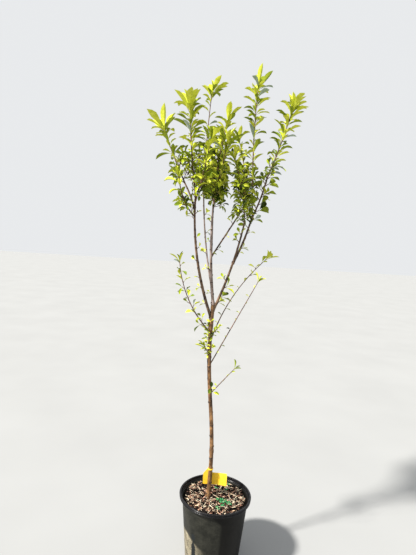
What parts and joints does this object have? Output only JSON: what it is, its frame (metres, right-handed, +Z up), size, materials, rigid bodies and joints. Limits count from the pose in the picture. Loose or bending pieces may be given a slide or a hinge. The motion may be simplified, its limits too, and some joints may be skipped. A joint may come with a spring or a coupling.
{
  "type": "potted plum tree",
  "caption": "Young fruit tree with a slender trunk, upright boughs and rosettes of leaves, standing in a filled round nursery pot with a plain card label.",
  "frame": {"origin": "centre of the pot's flat underside", "axes": "+Z up along the tree, +X to the right and +Y to the back as seen from the front"},
  "size_m": [0.6236, 0.5153, 2.0315],
  "materials": {
    "pot_plastic": "black moulded nursery plastic, dusty",
    "pine_bark": "chipped pine bark, dry",
    "label_card": "plain yellow plastic card",
    "trunk_bark": "young smooth bark with knots",
    "bough_bark": "young reddish bark",
    "foliage": "thin fresh green leaves"
  },
  "bodies": {
    "root": {"pot": "pot_plastic", "bark_filling": "pine_bark", "plant_label": "label_card", "trunk": "trunk_bark", "middle_bough": "bough_bark", "right_bough": "bough_bark", "left_bough": "bough_bark", "rear_left_bough": "bough_bark", "centre_right_bough": "bough_bark", "rear_bough": "bough_bark", "right_outer_bough": "bough_bark", "far_right_bough": "bough_bark", "far_left_bough": "bough_bark", "left_foliage": "foliage", "lower_left_foliage": "foliage", "far_left_foliage": "foliage", "rear_left_foliage": "foliage", "front_left_foliage": "foliage", "centre_foliage": "foliage", "centre_front_foliage": "foliage", "rear_foliage": "foliage", "centre_right_foliage": "foliage", "right_inner_foliage": "foliage", "right_leader_foliage": "foliage", "far_right_foliage": "foliage", "low_left_spray": "foliage", "right_upper_spray": "foliage", "right_lower_spray": "foliage", "low_right_spray": "foliage", "left_trunk_tuft": "foliage", "right_trunk_tuft": "foliage", "rear_trunk_tuft": "foliage"}
  },
  "joints": []
}
